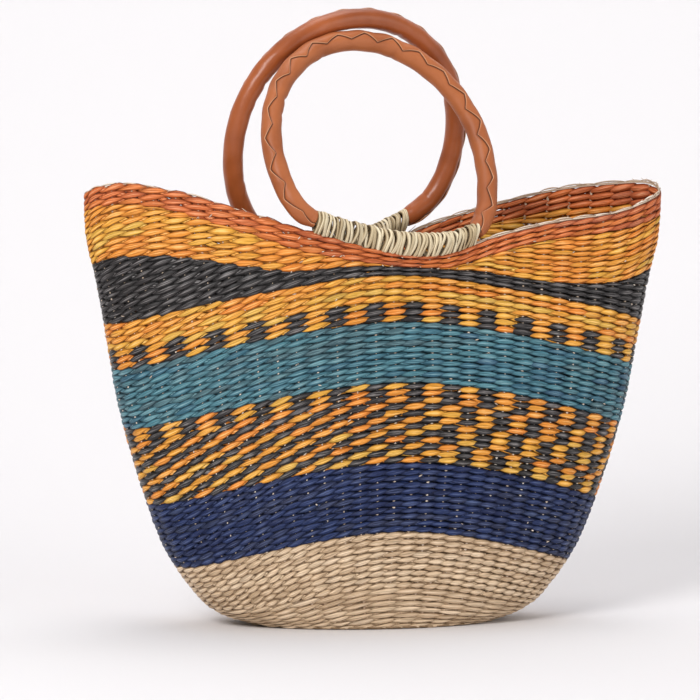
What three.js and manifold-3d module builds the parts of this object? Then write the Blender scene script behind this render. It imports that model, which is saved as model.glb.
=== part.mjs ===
// Woven straw basket bag with two leather covered ring handles lashed to its rim.
// Millimetres, +Z up, +X to the right, front towards -Y.
// The origin is the middle of the underside of the base, on the surface the bag stands on.

import * as THREE from 'three';
import { mergeVertices } from 'three/addons/utils/BufferGeometryUtils.js';
import Module from 'manifold-3d';

const wasm = await Module();
wasm.setup();

// Basket
const BASE_LENGTH = 184;
const BASE_DEPTH = 100;
const BELLY_DEPTH = 146;
const MOUTH_LENGTH = 447;
const MOUTH_DEPTH = 102;
const END_HEIGHT = 322;
const FRONT_DIP_HEIGHT = 276.5;
const BACK_DIP_HEIGHT = 263;
const WALL = 3;
// The mouth is turned a little about the upright axis at the handles.
const MOUTH_TURN = THREE.MathUtils.degToRad(14);

// Rim border strand
const BORDER_WIDTH = 4.4;
const BORDER_HEIGHT = 2;

// Ring handles
const FRONT_RING_RADIUS = 89.4;
const BACK_RING_RADIUS = 95.2;
const CORE_RADIUS = 5.4;
const LEATHER_RADIUS = 8.25;
const LEATHER_BORE = 6.7;

// Lashings
const LASHING_RADIUS = 7.7;
const FRONT_LASHING_LENGTH = 134;
const BACK_LASHING_LENGTH = 122;
const SKIRT_THICKNESS = 2.2;
const PASS_DROP = 3;
const PASS_RADIUS = 1.5;
const PASS_COUNT = 8;
const PASS_MARGIN = 8;
const SKIRT_MARGIN = 0.6;
const LASHING_LIFT = 0.6;
const SKIRT_DEPTH = 0.3;

// Gap kept between pieces
const CLEARANCE = 0.3;

// Facets
const STATIONS = 64;
const RING_STEPS = 48;
const RING_SIDES = 8;
const LEATHER_STEPS = 29;
const LEATHER_SIDES = 12;
const LASHING_STEPS = 10;
const PASS_SIDES = 6;

// Where each handle sits. side: front -1, back 1. radius: of the ring's centre line.
// across: ring middle from the bag's middle. lean: degrees, top towards the back.
// rise: ring middle above the lashed stretch. corner: how softly the ring turns into that stretch.
// lashed: length of the lashed stretch.
const HANDLES = {
  front: {
    side: -1,
    radius: FRONT_RING_RADIUS,
    across: -0.5,
    lean: 25,
    rise: 64.5,
    corner: 11,
    lashed: FRONT_LASHING_LENGTH,
  },
  back: {
    side: 1,
    radius: BACK_RING_RADIUS,
    across: -18.8,
    lean: -13.2,
    rise: 81.8,
    corner: 20,
    lashed: BACK_LASHING_LENGTH,
  },
};

// Wall sections. height: share of END_HEIGHT. length: share of the way from base to mouth length.
// base, mouth: how far the depth is drawn from the belly's to the base's or the mouth's.
// corner: power of the oval, under 1 is fuller and over 1 is more pointed at the ends.
const SECTIONS = [
  { height: 0, length: 0, base: 1, mouth: 0, corner: 0.88 },
  { height: 0.028, length: 0.205, base: 0.83, mouth: 0, corner: 0.88 },
  { height: 0.083, length: 0.352, base: 0.6, mouth: 0, corner: 0.88 },
  { height: 0.163, length: 0.49, base: 0.37, mouth: 0, corner: 0.89 },
  { height: 0.231, length: 0.567, base: 0.22, mouth: 0, corner: 0.89 },
  { height: 0.345, length: 0.667, base: 0.07, mouth: 0, corner: 0.9 },
  { height: 0.437, length: 0.737, base: 0, mouth: 0, corner: 0.9 },
  { height: 0.529, length: 0.797, base: 0, mouth: 0, corner: 0.94 },
  { height: 0.618, length: 0.84, base: 0, mouth: 0.08, corner: 0.98 },
  { height: 0.711, length: 0.884, base: 0, mouth: 0.23, corner: 1.01 },
  { height: 0.8, length: 0.93, base: 0, mouth: 0.45, corner: 1.05 },
  { height: 0.892, length: 0.985, base: 0, mouth: 0.71, corner: 1.08 },
  { height: 1.03, length: 1, base: 0, mouth: 1, corner: 1.12 },
];

// Rim line. turn: share of a turn from the right end by way of the back.
// rise: share of the way from the dip's height to the height of the ends.
const RIM_LINE = [
  { turn: 0, rise: 0.97 },
  { turn: 15 / 360, rise: 1.06 },
  { turn: 30 / 360, rise: 1.03 },
  { turn: 45 / 360, rise: 0.94 },
  { turn: 60 / 360, rise: 0.73 },
  { turn: 75 / 360, rise: 0.45 },
  { turn: 90 / 360, rise: 0.07 },
  { turn: 105 / 360, rise: 0 },
  { turn: 120 / 360, rise: 0.14 },
  { turn: 135 / 360, rise: 0.68 },
  { turn: 150 / 360, rise: 0.98 },
  { turn: 180 / 360, rise: 0.94 },
  { turn: 195 / 360, rise: 1.06 },
  { turn: 210 / 360, rise: 1.11 },
  { turn: 225 / 360, rise: 0.98 },
  { turn: 240 / 360, rise: 0.69 },
  { turn: 255 / 360, rise: 0.33 },
  { turn: 270 / 360, rise: 0.03 },
  { turn: 280 / 360, rise: 0.02 },
  { turn: 292 / 360, rise: 0.28 },
  { turn: 305 / 360, rise: 0.49 },
  { turn: 322 / 360, rise: 0.63 },
  { turn: 340 / 360, rise: 0.83 },
  { turn: 1, rise: 0.97 },
];

// Levels of the loft, as shares of the rim's height at each station.
const LEVELS = [0, 0.03, 0.07, 0.13, 0.2, 0.28, 0.37, 0.46, 0.56, 0.66, 0.76, 0.86, 0.93, 1];

// Share of the height over which the turned mouth sets in.
const TURN_FROM = 0.5;
const TURN_TO = 0.86;

const UP = new THREE.Vector3(0, 0, 1);
const STEP = 1e-3;

// Smooth curve through a table column. A closed table's first and last rows are the same place.
function follow(table, key, column, at, closed = false) {
  const last = table.length - 1;
  let i = 0;
  while (i < last - 1 && at > table[i + 1][key]) i += 1;
  const slope = (a, b) => (table[b][column] - table[a][column]) / (table[b][key] - table[a][key]);
  const tangent = (n) => {
    if (n > 0 && n < last) return slope(n - 1, n + 1);
    if (!closed) return n === 0 ? slope(0, 1) : slope(last - 1, last);
    return (slope(0, 1) + slope(last - 1, last)) / 2;
  };
  const width = table[i + 1][key] - table[i][key];
  const t = (at - table[i][key]) / width;
  const t2 = t * t;
  const t3 = t2 * t;
  return (
    (2 * t3 - 3 * t2 + 1) * table[i][column] +
    (t3 - 2 * t2 + t) * width * tangent(i) +
    (3 * t2 - 2 * t3) * table[i + 1][column] +
    (t3 - t2) * width * tangent(i + 1)
  );
}

// Height of the wall's top edge at a share of a turn.
function rimHeight(turn) {
  const share = turn - Math.floor(turn);
  const back = (1 + Math.sin(2 * Math.PI * share)) / 2;
  const dip = THREE.MathUtils.lerp(FRONT_DIP_HEIGHT, BACK_DIP_HEIGHT, back);
  return THREE.MathUtils.lerp(dip, END_HEIGHT, follow(RIM_LINE, 'turn', 'rise', share, true));
}

// Outside of the wall at a share of a turn and a height.
function wallPoint(turn, height) {
  const at = height / END_HEIGHT;
  const length = follow(SECTIONS, 'height', 'length', at);
  const halfLength = THREE.MathUtils.lerp(BASE_LENGTH, MOUTH_LENGTH, length) / 2;
  const toBase = follow(SECTIONS, 'height', 'base', at) * (BELLY_DEPTH - BASE_DEPTH);
  const toMouth = follow(SECTIONS, 'height', 'mouth', at) * (BELLY_DEPTH - MOUTH_DEPTH);
  const halfDepth = (BELLY_DEPTH - toBase - toMouth) / 2;
  const corner = follow(SECTIONS, 'height', 'corner', at);
  const angle = 2 * Math.PI * turn;
  const across = Math.cos(angle);
  const deep = Math.sin(angle);
  const x = halfLength * across;
  const turned = Math.tan(MOUTH_TURN) * THREE.MathUtils.smoothstep(at, TURN_FROM, TURN_TO) * x * deep ** 4;
  const y = halfDepth * Math.sign(deep) * Math.abs(deep) ** corner + turned;
  return new THREE.Vector3(x, y, height);
}

// Point, outward direction and upward direction of the wall's outside.
function wallFrame(turn, share) {
  const height = share * rimHeight(turn);
  const point = wallPoint(turn, height);
  const low = Math.max(height - 1, 0);
  const high = height + 1;
  const rising = wallPoint(turn, high).sub(wallPoint(turn, low)).normalize();
  const along = wallPoint(turn + STEP, height).sub(wallPoint(turn - STEP, height)).normalize();
  const out = new THREE.Vector3().crossVectors(along, rising).normalize();
  return { point, rising, out };
}

// Middle of the wall's top face, with its directions.
function rimFrame(turn) {
  const { point, rising, out } = wallFrame(turn, 1);
  return { middle: point.addScaledVector(out, -WALL / 2), rising, out };
}

// Share of a turn at which the front or back rim stands at a given place along X.
function turnAt(side, x) {
  let low = 0;
  let high = 0.5;
  for (let i = 0; i < 40; i += 1) {
    const mid = (low + high) / 2;
    if (rimFrame(side * mid).middle.x > x) low = mid;
    else high = mid;
  }
  return side * ((low + high) / 2);
}

// Closed solid from rings of points, each ring joined to the next. Flat fans close the two ends.
function loft(rings, closed = false) {
  const count = rings[0].length;
  const positions = rings.flat().flatMap((p) => [p.x, p.y, p.z]);
  const index = [];
  const last = closed ? rings.length : rings.length - 1;
  for (let r = 0; r < last; r += 1) {
    const here = r * count;
    const next = ((r + 1) % rings.length) * count;
    for (let i = 0; i < count; i += 1) {
      const j = (i + 1) % count;
      index.push(here + i, here + j, next + j, here + i, next + j, next + i);
    }
  }
  if (!closed) {
    [[rings[0], 0, false], [rings.at(-1), (rings.length - 1) * count, true]].forEach(([ring, start, top]) => {
      const hub = positions.length / 3;
      const middle = ring.reduce((sum, p) => sum.add(p), new THREE.Vector3()).divideScalar(count);
      positions.push(middle.x, middle.y, middle.z);
      for (let i = 0; i < count; i += 1) {
        const j = (i + 1) % count;
        if (top) index.push(start + i, start + j, hub);
        else index.push(start + j, start + i, hub);
      }
    });
  }
  const geometry = new THREE.BufferGeometry();
  geometry.setAttribute('position', new THREE.Float32BufferAttribute(positions, 3));
  geometry.setIndex(index);
  return geometry;
}

function toManifold(geometry) {
  const bare = geometry.clone();
  bare.deleteAttribute('normal');
  bare.deleteAttribute('uv');
  const merged = mergeVertices(bare);
  return new wasm.Manifold(
    new wasm.Mesh({
      numProp: 3,
      vertProperties: new Float32Array(merged.attributes.position.array),
      triVerts: new Uint32Array(merged.index.array),
    }),
  );
}

function toGeometry(solid) {
  const mesh = solid.getMesh();
  const geometry = new THREE.BufferGeometry();
  geometry.setAttribute('position', new THREE.BufferAttribute(mesh.vertProperties, 3));
  geometry.setIndex(new THREE.BufferAttribute(mesh.triVerts, 1));
  return geometry;
}

// Round bar between two points.
function bar(from, to, radius, sides) {
  const length = from.distanceTo(to);
  const geometry = new THREE.CylinderGeometry(radius, radius, length, sides);
  const direction = to.clone().sub(from).normalize();
  geometry.applyQuaternion(new THREE.Quaternion().setFromUnitVectors(new THREE.Vector3(0, 1, 0), direction));
  const middle = from.clone().lerp(to, 0.5);
  geometry.translate(middle.x, middle.y, middle.z);
  return geometry;
}

// Closed centre line of one ring: a leaning circle flattened where it lies along the rim.
class RingCurve extends THREE.Curve {
  constructor({ side, radius, across, lean, rise, corner, lashed }) {
    super();
    this.side = side;
    this.radius = radius;
    this.rise = rise;
    this.corner = corner;
    this.lashed = lashed;
    const angle = THREE.MathUtils.degToRad(lean);
    this.along = new THREE.Vector3(Math.cos(MOUTH_TURN), Math.sin(MOUTH_TURN), 0);
    const level = new THREE.Vector3(-Math.sin(MOUTH_TURN), Math.cos(MOUTH_TURN), 0);
    this.upward = UP.clone().multiplyScalar(Math.cos(angle)).addScaledVector(level, Math.sin(angle));
    this.lift = Math.cos(angle);
    this.seat = RingCurve.seatAt(side, across);
  }

  // The centre line's place above the rim at a place along X.
  static seatAt(side, x) {
    const { middle, rising } = rimFrame(turnAt(side, x));
    const height = CLEARANCE + BORDER_HEIGHT + LASHING_LIFT + LASHING_RADIUS;
    return middle.addScaledVector(rising, height);
  }

  getPoint(t, target = new THREE.Vector3()) {
    const angle = 2 * Math.PI * t;
    const sideways = this.radius * Math.sin(angle);
    const circle = this.rise - this.radius * Math.cos(angle);
    const rim = RingCurve.seatAt(this.side, this.seat.x + sideways * this.along.x);
    const flat = (rim.z - this.seat.z) / this.lift;
    const apart = circle - flat;
    const up = (circle + flat + Math.hypot(apart, this.corner)) / 2;
    return target.copy(this.seat).addScaledVector(this.along, sideways).addScaledVector(this.upward, up);
  }

  // Share of the turn at a distance sideways from the middle of the lashed stretch.
  shareAt(sideways) {
    return Math.asin(THREE.MathUtils.clamp(sideways / this.radius, -1, 1)) / (2 * Math.PI);
  }
}

// Stretch of a ring's centre line between two shares of its turn.
class RingStretch extends THREE.Curve {
  constructor(ring, from, to) {
    super();
    this.ring = ring;
    this.from = from;
    this.to = to;
  }

  getPoint(t, target = new THREE.Vector3()) {
    return this.ring.getPoint(THREE.MathUtils.lerp(this.from, this.to, t), target);
  }
}

// Share of the ring's turn at which the lashed stretch ends, with some length to spare.
function lashedShare(ring, spare) {
  return ring.shareAt(ring.lashed / 2 + spare);
}

function roundShape(radius, sides) {
  const shape = new THREE.Shape();
  for (let i = 0; i < sides; i += 1) {
    const angle = (2 * Math.PI * i) / sides;
    const x = radius * Math.cos(angle);
    const y = radius * Math.sin(angle);
    if (i === 0) shape.moveTo(x, y);
    else shape.lineTo(x, y);
  }
  shape.closePath();
  return shape;
}

// Places along X at which the lashing cord goes through the wall.
function passPlaces(handle) {
  const reach = handle.lashed / 2 - PASS_MARGIN;
  return Array.from({ length: PASS_COUNT }, (_, i) => {
    const share = PASS_COUNT > 1 ? i / (PASS_COUNT - 1) : 0.5;
    return handle.across + Math.cos(MOUTH_TURN) * THREE.MathUtils.lerp(-reach, reach, share);
  });
}

// Bars or holes through the wall under the rim, one for each pass of the lashing cord.
function passBars(handle, radius, reach) {
  return passPlaces(handle).map((x) => {
    const { middle, rising, out } = rimFrame(turnAt(handle.side, x));
    const place = middle.addScaledVector(rising, -PASS_DROP);
    const from = place.clone().addScaledVector(out, -reach);
    const to = place.clone().addScaledVector(out, reach);
    return toManifold(bar(from, to, radius, PASS_SIDES));
  });
}

// Hollow woven body: flat base, flaring wall and open boat-shaped mouth.
function basketBody() {
  const outside = LEVELS.map(() => []);
  const inside = LEVELS.map(() => []);
  for (let i = 0; i < STATIONS; i += 1) {
    LEVELS.forEach((level, n) => {
      const { point, rising, out } = wallFrame(i / STATIONS, level);
      const inner = point.clone().addScaledVector(out, -WALL);
      if (n === 0) inner.addScaledVector(rising, (WALL - inner.z) / rising.z);
      outside[n].push(point);
      inside[n].push(inner);
    });
  }
  let solid = toManifold(loft([...outside, ...inside.reverse()]));
  Object.values(HANDLES).forEach((handle) => {
    passBars(handle, PASS_RADIUS + CLEARANCE, 2 * WALL).forEach((hole) => {
      solid = solid.subtract(hole);
    });
  });
  return toGeometry(solid);
}

// Natural strand laid along the top edge of the mouth.
function rimBorder() {
  const rings = [];
  const halfWidth = BORDER_WIDTH / 2;
  const halfHeight = BORDER_HEIGHT / 2;
  const section = [
    [halfWidth, 0],
    [halfWidth / 2, -halfHeight],
    [-halfWidth / 2, -halfHeight],
    [-halfWidth, 0],
    [-halfWidth / 2, halfHeight],
    [halfWidth / 2, halfHeight],
  ];
  for (let i = 0; i < STATIONS; i += 1) {
    const { middle, rising, out } = rimFrame(i / STATIONS);
    middle.addScaledVector(rising, CLEARANCE + halfHeight);
    rings.push(section.map(([o, u]) => middle.clone().addScaledVector(out, o).addScaledVector(rising, u)));
  }
  return loft(rings, true);
}

// Stiff ring inside the leather and the lashing.
function handleCore(ring) {
  return new THREE.TubeGeometry(ring, RING_STEPS, CORE_RADIUS, RING_SIDES, true);
}

// Leather cover, open at both ends where the lashing starts.
function handleLeather(ring) {
  const start = lashedShare(ring, CLEARANCE);
  const shape = roundShape(LEATHER_RADIUS, LEATHER_SIDES);
  shape.holes.push(roundShape(LEATHER_BORE, RING_SIDES));
  const path = new RingStretch(ring, start, 1 - start);
  return new THREE.ExtrudeGeometry(shape, { steps: LEATHER_STEPS, bevelEnabled: false, extrudePath: path });
}

// One side of the wound cord, from the ring down past the border to under the passes.
function skirt(ring, from, to) {
  const rings = [];
  const reach = ring.lashed / 2 - CLEARANCE;
  const bottom = -PASS_DROP - PASS_RADIUS - SKIRT_MARGIN;
  const shoulder = BORDER_HEIGHT + 2 * CLEARANCE;
  for (let i = 0; i <= LASHING_STEPS; i += 1) {
    const sideways = THREE.MathUtils.lerp(-reach, reach, i / LASHING_STEPS);
    const { middle, rising, out } = rimFrame(turnAt(ring.side, ring.seat.x + sideways * ring.along.x));
    const top = ring.getPoint(ring.shareAt(sideways)).addScaledVector(rising, -LASHING_RADIUS * SKIRT_DEPTH);
    const corner = (o, u) => middle.clone().addScaledVector(out, o).addScaledVector(rising, u);
    rings.push([
      corner(from, bottom),
      corner(to, bottom),
      corner(to, shoulder),
      top.clone().addScaledVector(out, to),
      top.clone().addScaledVector(out, from),
      corner(from, shoulder),
    ]);
  }
  if (ring.side < 0) rings.reverse();
  return loft(rings);
}

// Cord wound round the ring and through the wall.
function lashing(handle, ring) {
  const share = lashedShare(ring, -CLEARANCE);
  const sleeve = new THREE.ExtrudeGeometry(roundShape(LASHING_RADIUS, LEATHER_SIDES), {
    steps: LASHING_STEPS,
    bevelEnabled: false,
    extrudePath: new RingStretch(ring, -share, share),
  });
  const beyond = lashedShare(ring, PASS_MARGIN);
  const bore = new THREE.ExtrudeGeometry(roundShape(LEATHER_BORE, RING_SIDES), {
    steps: LASHING_STEPS,
    bevelEnabled: false,
    extrudePath: new RingStretch(ring, -beyond, beyond),
  });
  const inner = BORDER_WIDTH / 2 + CLEARANCE;
  const outer = inner + SKIRT_THICKNESS;
  let solid = toManifold(sleeve);
  solid = solid.add(toManifold(skirt(ring, inner, outer)));
  solid = solid.add(toManifold(skirt(ring, -outer, -inner)));
  passBars(handle, PASS_RADIUS, (inner + outer) / 2).forEach((pass) => {
    solid = solid.add(pass);
  });
  return toGeometry(solid.subtract(toManifold(bore)));
}

const straw = new THREE.MeshStandardMaterial({ color: 0xc89a4e, roughness: 0.8, metalness: 0 });
const natural = new THREE.MeshStandardMaterial({ color: 0xd8c7a0, roughness: 0.85, metalness: 0 });
const rattan = new THREE.MeshStandardMaterial({ color: 0xb98a5a, roughness: 0.7, metalness: 0 });
const leather = new THREE.MeshStandardMaterial({ color: 0xa85a2c, roughness: 0.4, metalness: 0 });

const bag = new THREE.Group();

function place(name, geometry, material) {
  const mesh = new THREE.Mesh(geometry, material);
  mesh.name = name;
  bag.add(mesh);
}

place('basket_body', basketBody(), straw);
place('rim_border', rimBorder(), natural);
Object.entries(HANDLES).forEach(([name, handle]) => {
  const ring = new RingCurve(handle);
  place(`handle_core_${name}`, handleCore(ring), rattan);
  place(`handle_leather_${name}`, handleLeather(ring), leather);
  place(`lashing_${name}`, lashing(handle, ring), natural);
});

export default bag;
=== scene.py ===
"""Woven straw basket bag with two leather covered ring handles.

Lengths in the named sizes and in the working arrays are millimetres; meshes are made in metres.
"""

import math

import bpy
import numpy as np
from mathutils import Matrix


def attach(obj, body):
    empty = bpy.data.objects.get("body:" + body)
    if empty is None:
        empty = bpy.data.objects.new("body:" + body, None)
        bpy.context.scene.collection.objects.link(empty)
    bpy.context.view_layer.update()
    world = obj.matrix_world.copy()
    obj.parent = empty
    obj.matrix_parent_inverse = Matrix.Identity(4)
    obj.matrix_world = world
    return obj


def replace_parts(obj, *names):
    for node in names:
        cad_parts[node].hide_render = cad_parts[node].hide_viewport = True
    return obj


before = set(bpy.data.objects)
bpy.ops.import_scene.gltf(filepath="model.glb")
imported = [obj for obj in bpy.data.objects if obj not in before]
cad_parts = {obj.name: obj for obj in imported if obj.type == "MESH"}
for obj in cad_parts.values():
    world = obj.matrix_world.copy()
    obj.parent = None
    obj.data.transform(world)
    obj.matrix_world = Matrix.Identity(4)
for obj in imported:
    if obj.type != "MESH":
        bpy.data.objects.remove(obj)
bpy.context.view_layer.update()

MM = 0.001
TAU = 2 * math.pi
rng = np.random.default_rng(11)

# Basket
BASE_LENGTH = 184
BASE_DEPTH = 100
BELLY_DEPTH = 146
MOUTH_LENGTH = 447
MOUTH_DEPTH = 102
END_HEIGHT = 322
FRONT_DIP_HEIGHT = 276.5
BACK_DIP_HEIGHT = 263
WALL = 3
MOUTH_TURN = math.radians(14)
TURN_FROM = 0.5
TURN_TO = 0.86

# Rim border, rings and lashings
BORDER_HEIGHT = 2
CLEARANCE = 0.3
CORE_RADIUS = 5.4
LEATHER_RADIUS = 8.25
LASHING_RADIUS = 7.7
LASHING_LIFT = 0.6
# Each ring lies on the rim along its lashed length. In use it settles there, is drawn down a little
# more at its lower right, and its top is raised.
HANDLES = {
    "front": dict(
        side=-1, radius=89.4, across=-0.5, lean=25, rise=64.5, corner=11, lashed=134,
        settle=3.4, drawn=6.5, raised=2.4,
    ),
    "back": dict(
        side=1, radius=95.2, across=-18.8, lean=-13.2, rise=81.8, corner=20, lashed=122,
        settle=3.2, drawn=0, raised=-0.6,
    ),
}

# Wall sections, as shares: height of END_HEIGHT, length from base to mouth, depth drawn from the
# belly's to the base's and to the mouth's, and the power of the oval.
SECTIONS = {
    "height": [0, 0.028, 0.083, 0.163, 0.231, 0.345, 0.437, 0.529, 0.618, 0.711, 0.8, 0.892, 1.03],
    "length": [0, 0.205, 0.352, 0.49, 0.567, 0.667, 0.737, 0.797, 0.84, 0.884, 0.93, 0.985, 1],
    "base": [1, 0.83, 0.6, 0.37, 0.22, 0.07, 0, 0, 0, 0, 0, 0, 0],
    "mouth": [0, 0, 0, 0, 0, 0, 0, 0, 0.08, 0.23, 0.45, 0.71, 1],
    "corner": [0.88, 0.88, 0.88, 0.89, 0.89, 0.9, 0.9, 0.94, 0.98, 1.01, 1.05, 1.08, 1.12],
}

# Rim line: degrees round from the right end by way of the back, and share of the rise to the ends.
RIM_LINE = {
    "turn": [
        0, 15, 30, 45, 60, 75, 90, 105, 120, 135, 150, 180,
        195, 210, 225, 240, 255, 270, 280, 292, 305, 322, 340, 360,
    ],
    "rise": [
        0.97, 1.06, 1.03, 0.94, 0.73, 0.45, 0.07, 0, 0.14, 0.68, 0.98, 0.94,
        1.06, 1.11, 0.98, 0.69, 0.33, 0.03, 0.02, 0.28, 0.49, 0.63, 0.83, 0.97,
    ],
}

# Weave
STAKES = 62
ROW_PITCH = 4.75
# Even bands from the base up: name, rows and the height of a row.
BANDS = [
    ("natural", 16, 4.75),
    ("navy", 11, 4.7),
    ("pattern", 12, 4.88),
    ("teal", 10, 4.45),
    ("lower", 7, 4.86),
]
PLAIN_HEIGHT = sum(rows * height for name, rows, height in BANDS)
RUST_ROWS = 3
LADDER_ROWS = 3
# The straw of each band; the two patterned ones have black stitches as well.
BAND_STRAW = {
    "natural": "natural",
    "navy": "navy",
    "pattern": "ochre",
    "teal": "teal",
    "lower": "ochre",
    "black": "black",
    "upper": "ochre",
    "rust": "rust",
}
# The patterned band has stripes to the left of this share of the half length and blocks to the right.
BLOCKS_FROM = 0.12
BLOCK_ROWS = 3
# Rows of the two wedge bands by the share of the half length, from the left end to the right.
WEDGES = {
    "across": [-1, -0.92, -0.73, -0.54, -0.38, -0.2, 0, 0.1, 0.18, 0.3, 0.43, 0.56, 0.68, 0.78, 0.86, 1],
    "black": [10.5, 10, 7.6, 3.9, 2, 2, 2, 2, 2.1, 2.4, 2.5, 2.7, 3.4, 4.2, 5.2, 8],
    "ochre": [9, 8.2, 6.8, 4.7, 3.1, 1.3, 0, 0, 0.3, 2.2, 5.6, 7.8, 9, 9.2, 9, 8],
}


def follow(table, key, column, at, closed=False):
    """Smooth curve through a table column, as in the part's source."""
    x = np.array(table[key], float)
    y = np.array(table[column], float)
    m = np.empty_like(y)
    m[1:-1] = (y[2:] - y[:-2]) / (x[2:] - x[:-2])
    first = (y[1] - y[0]) / (x[1] - x[0])
    last = (y[-1] - y[-2]) / (x[-1] - x[-2])
    m[0] = (first + last) / 2 if closed else first
    m[-1] = (first + last) / 2 if closed else last
    at = np.asarray(at, float)
    i = np.clip(np.searchsorted(x, at) - 1, 0, len(x) - 2)
    width = x[i + 1] - x[i]
    t = (at - x[i]) / width
    t2, t3 = t * t, t * t * t
    return (
        (2 * t3 - 3 * t2 + 1) * y[i]
        + (t3 - 2 * t2 + t) * width * m[i]
        + (3 * t2 - 2 * t3) * y[i + 1]
        + (t3 - t2) * width * m[i + 1]
    )


def smoothstep(x, low, high):
    t = np.clip((x - low) / (high - low), 0, 1)
    return t * t * (3 - 2 * t)


def unit(v):
    return v / np.linalg.norm(v, axis=-1, keepdims=True)


def rim_height(turn):
    share = np.mod(turn, 1.0)
    back = (1 + np.sin(TAU * share)) / 2
    dip = FRONT_DIP_HEIGHT + (BACK_DIP_HEIGHT - FRONT_DIP_HEIGHT) * back
    return dip + (END_HEIGHT - dip) * follow(RIM_LINE, "turn", "rise", share * 360, True)


def wall_point(turn, height):
    """Outside of the wall at shares of a turn and heights."""
    at = height / END_HEIGHT
    half_length = (BASE_LENGTH + (MOUTH_LENGTH - BASE_LENGTH) * follow(SECTIONS, "height", "length", at)) / 2
    to_base = follow(SECTIONS, "height", "base", at) * (BELLY_DEPTH - BASE_DEPTH)
    to_mouth = follow(SECTIONS, "height", "mouth", at) * (BELLY_DEPTH - MOUTH_DEPTH)
    half_depth = (BELLY_DEPTH - to_base - to_mouth) / 2
    corner = follow(SECTIONS, "height", "corner", at)
    across, deep = np.cos(TAU * turn), np.sin(TAU * turn)
    x = half_length * across
    turned = math.tan(MOUTH_TURN) * smoothstep(at, TURN_FROM, TURN_TO) * x * deep**4
    y = half_depth * np.sign(deep) * np.abs(deep) ** corner + turned
    return np.stack([x, y, height + 0 * x], -1)


def wall_frame(turn, height):
    """Point, upward direction and outward direction of the wall's outside."""
    point = wall_point(turn, height)
    rising = unit(wall_point(turn, height + 1) - wall_point(turn, np.maximum(height - 1, 0)))
    along = unit(wall_point(turn + 1e-3, height) - wall_point(turn - 1e-3, height))
    return point, rising, unit(np.cross(along, rising))


class Weave:
    """Places on the wall by stake number (may be a fraction) and distance up the stake."""

    PER_STAKE = 6
    LEVELS = 90
    TURN_STEPS = 4001
    # Share of the height where the stakes are evenly spaced
    EVEN_HEIGHT = 0.62
    FRONT_TURN = 0.75
    # How far left of the front's middle an even stake stands, as a share of a turn
    STAKE_LEFT = 0.0165

    def __init__(self):
        turns = np.linspace(0, 1, self.TURN_STEPS)
        ring = wall_point(turns, np.full_like(turns, END_HEIGHT * self.EVEN_HEIGHT))
        run = np.r_[0, np.cumsum(np.linalg.norm(np.diff(ring, axis=0), axis=1))]
        self.spacing = run[-1] / STAKES
        front = np.interp(self.FRONT_TURN - self.STAKE_LEFT, turns, run) / self.spacing
        self.phase = front - 2 * round(front / 2)
        self.turns, self.runs = turns, run
        self.w = np.arange(STAKES * self.PER_STAKE + 1) / self.PER_STAKE
        turn = self.turn(self.w)
        top = rim_height(turn)
        share = np.linspace(0, 1, self.LEVELS)
        points = wall_point(turn[:, None], share[None] * top[:, None])
        step = np.linalg.norm(np.diff(points, axis=1), axis=2)
        arc = np.concatenate([np.zeros((len(turn), 1)), np.cumsum(step, axis=1)], 1)
        self.length = arc[:, -1]
        self.share = share
        self.table = np.array([np.interp(share, a / a[-1], share) for a in arc])

    def turn(self, w):
        at = np.mod(w + self.phase, STAKES) * self.spacing
        whole = np.floor((w + self.phase) / STAKES)
        return np.interp(at, self.runs, self.turns) + whole

    def stake_length(self, w):
        return np.interp(np.mod(w, STAKES), self.w, self.length)

    def frame(self, w, s):
        """Point on the wall's mid surface with its along, up and out directions."""
        w, s = np.broadcast_arrays(np.asarray(w, float), np.asarray(s, float))
        wm = np.mod(w, STAKES) * self.PER_STAKE
        i = np.clip(np.floor(wm).astype(int), 0, len(self.w) - 2)
        f = wm - i
        level = np.clip(s / self.stake_length(w), 0, 1.02) * (self.LEVELS - 1)
        k = np.clip(np.floor(level).astype(int), 0, self.LEVELS - 2)
        g = level - k
        t = self.table
        below = t[i, k] * (1 - f) + t[i + 1, k] * f
        above = t[i, k + 1] * (1 - f) + t[i + 1, k + 1] * f
        share = below * (1 - g) + above * g
        turn = self.turn(w)
        point, up, out = wall_frame(turn, share * rim_height(turn))
        return point - out * WALL / 2, unit(np.cross(up, out)), up, out


weave = Weave()
stake_numbers = np.linspace(0, STAKES, 2000)
# Stake number at the right end
STAKE_AT_RIGHT = float(np.interp(1.0, weave.turn(stake_numbers), stake_numbers))


def mesh_object(name, verts, quads, material, attributes=None, uv=None, ngons=()):
    """One smooth mesh piece in metres that rides on the bag's only body."""
    mesh = bpy.data.meshes.new(name)
    faces = np.concatenate([np.asarray(quads).reshape(-1)] + [np.asarray(n).reshape(-1) for n in ngons])
    sizes = np.concatenate([np.full(len(quads), 4)] + [np.full(len(n), n.shape[1]) for n in ngons])
    mesh.vertices.add(len(verts))
    mesh.vertices.foreach_set("co", (np.asarray(verts) * MM).astype(np.float32).ravel())
    mesh.loops.add(len(faces))
    mesh.loops.foreach_set("vertex_index", faces.astype(np.int32))
    mesh.polygons.add(len(sizes))
    mesh.polygons.foreach_set("loop_start", np.r_[0, np.cumsum(sizes)[:-1]].astype(np.int32))
    mesh.polygons.foreach_set("use_smooth", np.ones(len(sizes), bool))
    mesh.update(calc_edges=True)
    for key, values in (attributes or {}).items():
        mesh.attributes.new(key, "FLOAT", "POINT").data.foreach_set("value", np.asarray(values, np.float32))
    if uv is not None:
        layer = mesh.uv_layers.new(name="UVMap")
        layer.data.foreach_set("uv", np.asarray(uv, np.float32)[faces].ravel())
    mesh.validate()
    mesh.materials.append(material)
    piece = bpy.data.objects.new(name, mesh)
    bpy.context.collection.objects.link(piece)
    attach(piece, "root")
    return piece


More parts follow.
